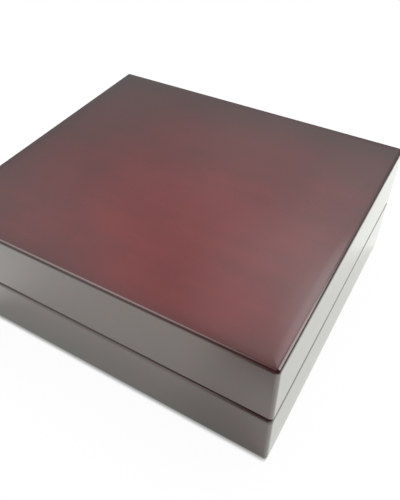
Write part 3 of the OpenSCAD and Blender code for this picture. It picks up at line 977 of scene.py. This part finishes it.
def makeWhiteFloor():
    # White board. Straight on it is white but for a painted contact shadow. The lacquer mirrors it
    # with the shade that the case casts, and with painted reflections: a darker patch in front of
    # the near corner, dimmer far from the middle, slightly green.
    look = stageLook
    m = newMaterial("whiteBoard")
    cameraRay, mirrorRay = raysOf(m)
    mirrored = addNode(m, "ShaderNodeMath", {
        "operation": "MULTIPLY", 0: mirrorRay, 1: 1 - look["floorShadeMirrored"]})
    glowing = addNode(m, "ShaderNodeMix", {
        "Factor": cameraRay, "A": mirrored, "B": 1 - look["floorShadeSeen"]})
    # painted reflection tint: glossy rays alone see the board slightly green
    tint = addNode(m, "ShaderNodeMix", {
        "data_type": "RGBA", "Factor": mirrorRay, 6: (1, 1, 1, 1),
        7: linearColour(look["mirroredFloorTint"])}).outputs[2]
    seenReach, mirroredReach = look["contactReach"]
    seenLevel, mirroredLevel = look["contactLevel"]
    # painted contact shadow: the floor's white darkens where ambient occlusion finds the case
    # close
    reach = addNode(m, "ShaderNodeMapRange", {
        "To Min": seenReach, "To Max": mirroredReach, "Value": mirrorRay})
    openness = addNode(m, "ShaderNodeAmbientOcclusion", {
        "samples": 8, "Distance": reach}).outputs["AO"]
    darkest = addNode(m, "ShaderNodeMapRange", {
        "To Min": seenLevel, "To Max": mirroredLevel, "Value": mirrorRay})
    shut, clear = look["contactOpenness"]
    paintedContactShadow = addNode(m, "ShaderNodeMapRange", {
        "From Min": shut, "From Max": clear, "To Max": 1.0, "Value": openness,
        "To Min": darkest})
    coords = addNode(m, "ShaderNodeTexCoord").outputs["Object"]
    axes = addNode(m, "ShaderNodeSeparateXYZ", {"Vector": coords}).outputs
    # painted light: past washedFrom the floor's level is set to full brightness
    washed = addNode(m, "ShaderNodeMath", {
        "operation": "GREATER_THAN", 0: axes["X"], 1: look["washedFrom"]})
    # painted reflection: in mirror rays alone the floor darkens in front of the near corner
    dark = mirrorRay
    for axis in "XY":
        start, end, nearer = look["darkAlong" + axis]
        band = addNode(m, "ShaderNodeMapRange", {
            "interpolation_type": "SMOOTHSTEP", "From Min": start, "From Max": end,
            "To Min": nearer, "Value": axes[axis]})
        dark = addNode(m, "ShaderNodeMath", {"operation": "MULTIPLY", 0: dark, 1: band})
    unshaded = addNode(m, "ShaderNodeMapRange", {
        "To Min": 1.0, "To Max": look["darkLevel"], "Value": dark})
    shade = addNode(m, "ShaderNodeMath", {"operation": "MULTIPLY", 0: paintedContactShadow, 1: unshaded})
    level = addNode(m, "ShaderNodeMath", {"operation": "MAXIMUM", 0: shade, 1: washed})
    # painted reflection: in mirror rays alone the floor dims away from the middle
    away = addNode(m, "ShaderNodeVectorMath", {
        "operation": "LENGTH", 0: coords}).outputs["Value"]
    boardStart, boardEnd = look["boardReach"]
    dimmed = addNode(m, "ShaderNodeMapRange", {
        "interpolation_type": "SMOOTHSTEP", "From Min": boardStart, "From Max": boardEnd,
        "To Min": 1.0, "To Max": 1 - look["mirroredDimShare"], "Value": away})
    bright = addNode(m, "ShaderNodeMix", {"Factor": mirrorRay, "A": 1.0, "B": dimmed})
    fading = addNode(m, "ShaderNodeMath", {"operation": "MULTIPLY", 0: level, 1: bright})
    colour = addNode(m, "ShaderNodeVectorMath", {
        "operation": "SCALE", "Vector": tint, "Scale": fading})
    board = addNode(m, "ShaderNodeBsdfDiffuse", {"Color": colour})
    white = addNode(m, "ShaderNodeEmission", {"Color": colour})
    mix = addNode(m, "ShaderNodeMixShader", {0: glowing, 1: board, 2: white})
    return finishMaterial(m, mix)


def layFloor():
    half = stageLook["floorSize"] / 2
    mesh = bpy.data.meshes.new("floor")
    mesh.from_pydata([(-half, -half, 0), (half, -half, 0), (half, half, 0), (-half, half, 0)],
                     [], [(0, 1, 2, 3)])
    floor = meshObject("floor", mesh)
    setMaterial(floor, makeWhiteFloor())
    return floor


def hangLight(name, kind, energy):
    lamp = bpy.data.lights.new(name, kind)
    lamp.energy = energy
    obj = bpy.data.objects.new(name, lamp)
    bpy.context.scene.collection.objects.link(obj)
    return obj


def hangLamp():
    # a small soft lamp close above the case, kept out of the lacquer's mirror image
    lamp = hangLight("lampAbove", "AREA", stageLook["lampPower"])
    lamp.data.shape = "DISK"
    lamp.data.size = stageLook["lampSize"]
    lamp.location = stageLook["lampPlace"]
    lamp.visible_glossy = False
    lamp.visible_camera = False


def hangSun(name, look, pieces):
    # broad soft light that reaches these pieces alone
    sun = hangLight(name, "SUN", look["energy"])
    sun.data.angle = math.radians(look["softness"])
    sun.rotation_euler = Vector(look["from"]).to_track_quat("Z", "Y").to_euler()
    reached = bpy.data.collections.new(name + "Reaches")
    for piece in pieces:
        reached.objects.link(piece)
    sun.light_linking.receiver_collection = reached
    return sun


def insidePieces():
    finishes = (velvet, satin, padCard, brass, screwBrass)
    return [piece for piece in bpy.context.scene.objects if piece.type == "MESH"
            and any(slot.material in finishes for slot in piece.material_slots)]


def lightWorld():
    # Straight views of the surroundings are white and diffuse light is even. The lacquer
    # mirrors the plain walls of a room and a few soft boxes.
    look = stageLook
    world = bpy.data.worlds.new("softStudio")
    bpy.context.scene.world = world
    world.use_nodes = True
    world.node_tree.nodes.clear()
    direction = addNode(world, "ShaderNodeTexCoord").outputs["Generated"]
    axes = addNode(world, "ShaderNodeSeparateXYZ", {"Vector": direction}).outputs
    horizon, overhead = look["backWall"]
    back = addNode(world, "ShaderNodeMapRange", {
        "To Min": horizon, "To Max": overhead, "Value": axes["Z"]})
    (leftWall, wall), (leftEnd, leftStop) = look["frontWall"], look["frontEnds"]
    front = addNode(world, "ShaderNodeMapRange", {
        "interpolation_type": "SMOOTHSTEP", "From Min": leftEnd, "From Max": leftStop,
        "To Min": leftWall, "To Max": wall, "Value": axes["X"]})
    frontStop, backStart = look["backEnds"]
    behind = addNode(world, "ShaderNodeMapRange", {
        "interpolation_type": "SMOOTHSTEP", "From Min": frontStop, "From Max": backStart,
        "Value": axes["Y"]})
    level = addNode(world, "ShaderNodeMix", {"Factor": behind, "A": front, "B": back})
    for toward, inner, outer, brightness in look["softBoxes"]:
        facing = addNode(world, "ShaderNodeVectorMath", {
            "operation": "DOT_PRODUCT", 0: direction, 1: Vector(toward).normalized()})
        glow = addNode(world, "ShaderNodeMapRange", {
            "interpolation_type": "SMOOTHSTEP", "From Min": math.cos(math.radians(outer)),
            "From Max": math.cos(math.radians(inner)), "To Max": brightness,
            "Value": facing.outputs["Value"]})
        level = addNode(world, "ShaderNodeMath", {"operation": "ADD", 0: level, 1: glow})
    cameraRay, mirrorRay = raysOf(world)
    unseen = addNode(world, "ShaderNodeMix", {
        "Factor": mirrorRay, "A": look["skyLevel"], "B": level})
    strength = addNode(world, "ShaderNodeMix", {"Factor": cameraRay, "A": unseen, "B": 1.0})
    light = addNode(world, "ShaderNodeBackground", {
        "Color": (1, 1, 1, 1), "Strength": strength})
    addNode(world, "ShaderNodeOutputWorld", {"Surface": light})
    arrangeNodes(world.node_tree)


cameraLook = {
    # place and axes, solved from the case's own edges
    "place": (0.1659, -0.24826, 0.3269),
    "right": (0.86196, 0.50662, -0.01893),
    "up": (-0.34727, 0.61722, 0.706),
    "back": (0.36936, -0.60197, 0.70796),
    "lens": 38.22,
    "sensor": 36,
}


def placeCamera():
    look = cameraLook
    camera = bpy.data.cameras.new("camera")
    camera.sensor_width = look["sensor"]
    camera.lens = look["lens"]
    obj = bpy.data.objects.new("camera", camera)
    turn = Matrix((look["right"], look["up"], look["back"])).transposed().to_4x4()
    obj.matrix_world = Matrix.Translation(look["place"]) @ turn
    bpy.context.scene.collection.objects.link(obj)
    bpy.context.scene.camera = obj


floor = layFloor()
hangSun("floorSun", stageLook["floorSun"], [floor]).visible_glossy = False
hangSun("liningSun", stageLook["liningSun"], insidePieces())
hangLamp()
lightWorld()
placeCamera()
bpy.context.scene.view_settings.view_transform = "Standard"
print("stage set")
